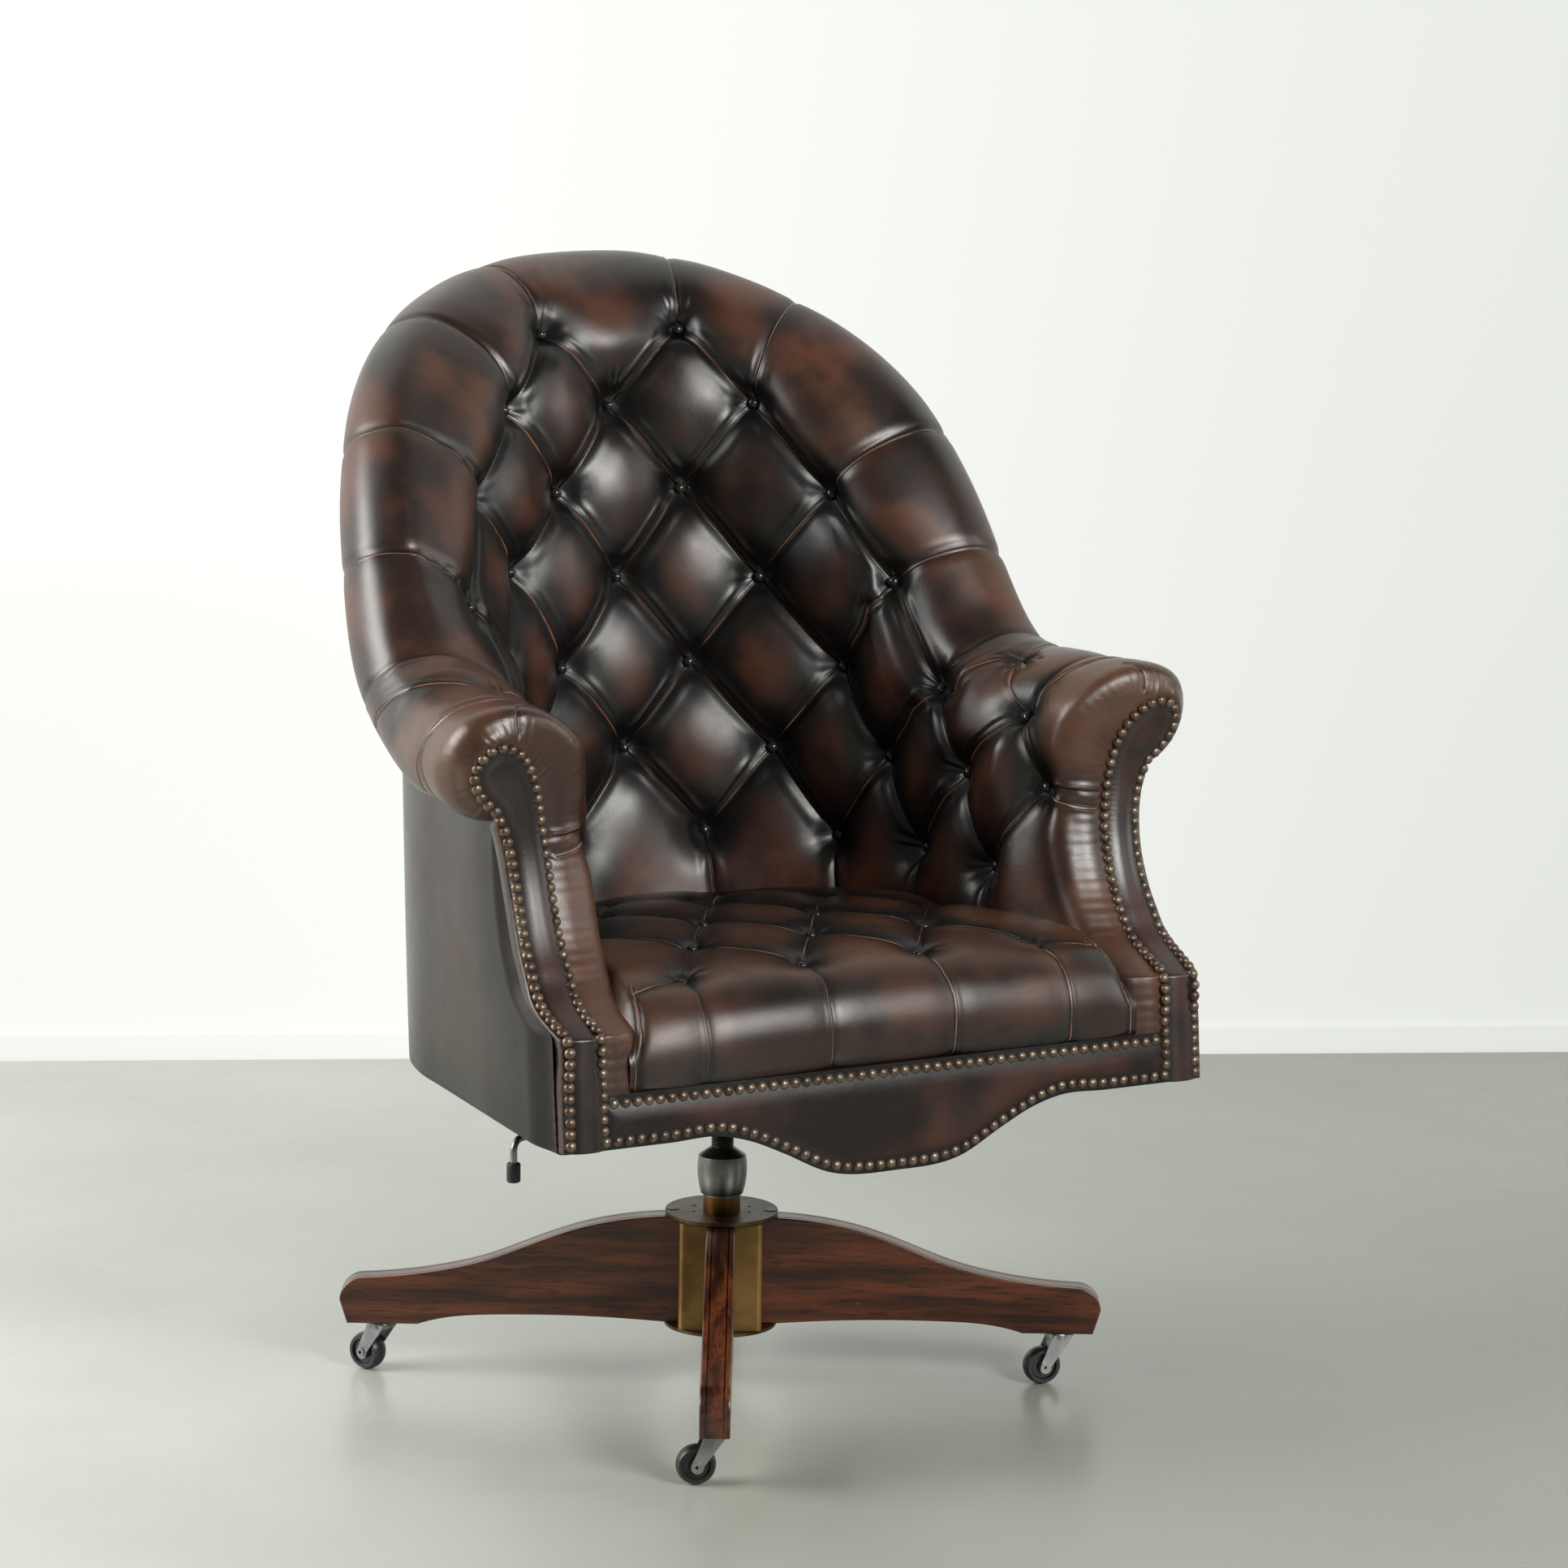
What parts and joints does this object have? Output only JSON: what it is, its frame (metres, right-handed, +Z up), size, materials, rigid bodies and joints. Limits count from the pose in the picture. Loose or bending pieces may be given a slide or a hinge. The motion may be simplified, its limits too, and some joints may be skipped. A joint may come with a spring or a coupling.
{
  "type": "chesterfield office chair",
  "caption": "Low-armed tub swivel chair in deep-buttoned leather on a wooden castor base, with a screw height collar and a sprung tilt.",
  "frame": {"origin": "on the floor under the swivel axis", "axes": "+Z up, the seat faces -Y, the lever is at -X; the castor base is turned 29.74 degrees about Z as found"},
  "size_m": [0.785, 0.7168, 1.0682],
  "materials": {
    "mahogany": "french-polished red-brown mahogany with lengthwise grain",
    "frame_beech": "planed beech of the hidden frame",
    "frame_board": "bent plywood and deck board",
    "brass_lacquer": "brownish brass lacquer on pressed steel",
    "dark_brass": "dark worn brass finish",
    "turned_steel": "turned bare steel, satin",
    "oiled_steel": "dark oiled steel",
    "zinc_steel": "dull zinc-plated pressed steel",
    "black_steel": "black painted pressed steel",
    "bushing": "natural nylon",
    "castor_black": "black moulded castor wheel, satin",
    "knob_black": "black moulded knob",
    "lever_steel": "plain steel bar",
    "grip_rubber": "black rubber tip",
    "hide": "antique rubbed red-brown leather, dark in the creases and worn olive on the roll",
    "hide_outer": "smooth dark red-brown leather",
    "hide_button": "dark leather over a small domed button",
    "black_cloth": "thin black woven dust cloth"
  },
  "bodies": {
    "base": {"front_leg": "mahogany", "right_leg": "mahogany", "back_leg": "mahogany", "left_leg": "mahogany", "hub_box": "brass_lacquer", "hub_flange": "dark_brass", "hub_bottom_plate": "black_steel", "hub_screws": "oiled_steel", "castor_sockets": "zinc_steel", "column_tube": "brass_lacquer", "column_bush": "bushing", "key_pin": "oiled_steel", "thrust_washer": "turned_steel"},
    "column": {"spindle": "oiled_steel", "spindle_nut": "oiled_steel", "swivel_washer": "oiled_steel"},
    "collar": {"height_collar": "turned_steel"},
    "bracket": {"tilt_bracket": "black_steel", "tension_spring": "oiled_steel"},
    "knob": {"tension_knob": "knob_black", "tension_bolt": "oiled_steel"},
    "cup": {"spring_cup": "oiled_steel"},
    "seat": {"seat_plate": "black_steel", "tilt_axle": "oiled_steel", "plate_screws": "oiled_steel", "seat_deck": "frame_board", "back_rail": "frame_beech", "side_rails": "frame_beech", "front_rail": "frame_beech", "corner_blocks": "frame_beech", "arm_posts": "frame_beech", "frame_posts": "frame_beech", "tub_panel": "frame_board", "outside_cover": "hide_outer", "dust_cover": "black_cloth", "front_apron": "hide", "inside_back": "hide", "left_inside_arm": "hide", "right_inside_arm": "hide", "roll_padding": "hide", "left_arm_facing": "hide", "right_arm_facing": "hide", "seat_pad": "hide", "back_buttons": "hide_button", "seat_buttons": "hide_button"},
    "lever": {"tilt_lever": "lever_steel", "lever_grip": "grip_rubber"},
    "front_castor": {"front_castor_fork": "zinc_steel", "front_castor_axle": "zinc_steel"},
    "front_wheel": {"front_castor_wheel": "castor_black"},
    "right_castor": {"right_castor_fork": "zinc_steel", "right_castor_axle": "zinc_steel"},
    "right_wheel": {"right_castor_wheel": "castor_black"},
    "back_castor": {"back_castor_fork": "zinc_steel", "back_castor_axle": "zinc_steel"},
    "back_wheel": {"back_castor_wheel": "castor_black"},
    "left_castor": {"left_castor_fork": "zinc_steel", "left_castor_axle": "zinc_steel"},
    "left_wheel": {"left_castor_wheel": "castor_black"}
  },
  "joints": [
    {"name": "seat_height", "type": "slide", "parent": "base", "child": "column", "axis": [0, 0, 1], "range_m": [-0.02, 0.05]},
    {"name": "collar_spin", "type": "hinge", "parent": "base", "child": "collar", "pos_m": [0, 0, 0.2], "axis": [0, 0, 1], "range_deg": [-2880, 7200]},
    {"name": "seat_swivel", "type": "hinge", "parent": "column", "child": "bracket", "pos_m": [0, 0, 0.27], "axis": [0, 0, 1], "continuous": true},
    {"name": "tension_turn", "type": "hinge", "parent": "bracket", "child": "knob", "pos_m": [0, 0.075, 0.25], "axis": [0, 0, 1], "range_deg": [0, 1440]},
    {"name": "cup_slide", "type": "slide", "parent": "bracket", "child": "cup", "axis": [0, 0, 1], "range_m": [0, 0.006], "deforming": ["tension_spring"]},
    {"name": "seat_tilt", "type": "hinge", "parent": "bracket", "child": "seat", "pos_m": [0, -0.025, 0.335], "axis": [-1, 0, 0], "range_deg": [0, 12], "stiffness_Nm_per_rad": 260, "springref_deg": -9.17, "deforming": ["tension_spring"]},
    {"name": "lever_turn", "type": "hinge", "parent": "seat", "child": "lever", "pos_m": [-0.062, -0.058, 0.322], "axis": [-0.8619, -0.507, 0], "range_deg": [0, 40]},
    {"name": "front_castor_swivel", "type": "hinge", "parent": "base", "child": "front_castor", "pos_m": [-0.1634, -0.28601, 0.06], "axis": [0, 0, 1], "continuous": true},
    {"name": "front_wheel_spin", "type": "hinge", "parent": "front_castor", "child": "front_wheel", "pos_m": [-0.17893, -0.2791, 0.0185], "axis": [-0.4067, -0.9135, 0], "continuous": true},
    {"name": "right_castor_swivel", "type": "hinge", "parent": "base", "child": "right_castor", "pos_m": [0.28601, -0.1634, 0.06], "axis": [0, 0, 1], "continuous": true},
    {"name": "right_wheel_spin", "type": "hinge", "parent": "right_castor", "child": "right_wheel", "pos_m": [0.26945, -0.15958, 0.0185], "axis": [-0.225, -0.9744, 0], "continuous": true},
    {"name": "back_castor_swivel", "type": "hinge", "parent": "base", "child": "back_castor", "pos_m": [0.1634, 0.28601, 0.06], "axis": [0, 0, 1], "continuous": true},
    {"name": "back_wheel_spin", "type": "hinge", "parent": "back_castor", "child": "back_wheel", "pos_m": [0.15038, 0.29694, 0.0185], "axis": [-0.6428, -0.766, 0], "continuous": true},
    {"name": "left_castor_swivel", "type": "hinge", "parent": "base", "child": "left_castor", "pos_m": [-0.28601, 0.1634, 0.06], "axis": [0, 0, 1], "continuous": true},
    {"name": "left_wheel_spin", "type": "hinge", "parent": "left_castor", "child": "left_wheel", "pos_m": [-0.2932, 0.17881, 0.0185], "axis": [-0.9063, -0.4226, 0], "continuous": true}
  ],
  "couplings": [
    {"joint": "collar_spin", "follows": "seat_height", "rad_per_m": 2513.3},
    {"joint": "cup_slide", "follows": "tension_turn", "m_per_rad": 0.00023873}
  ]
}
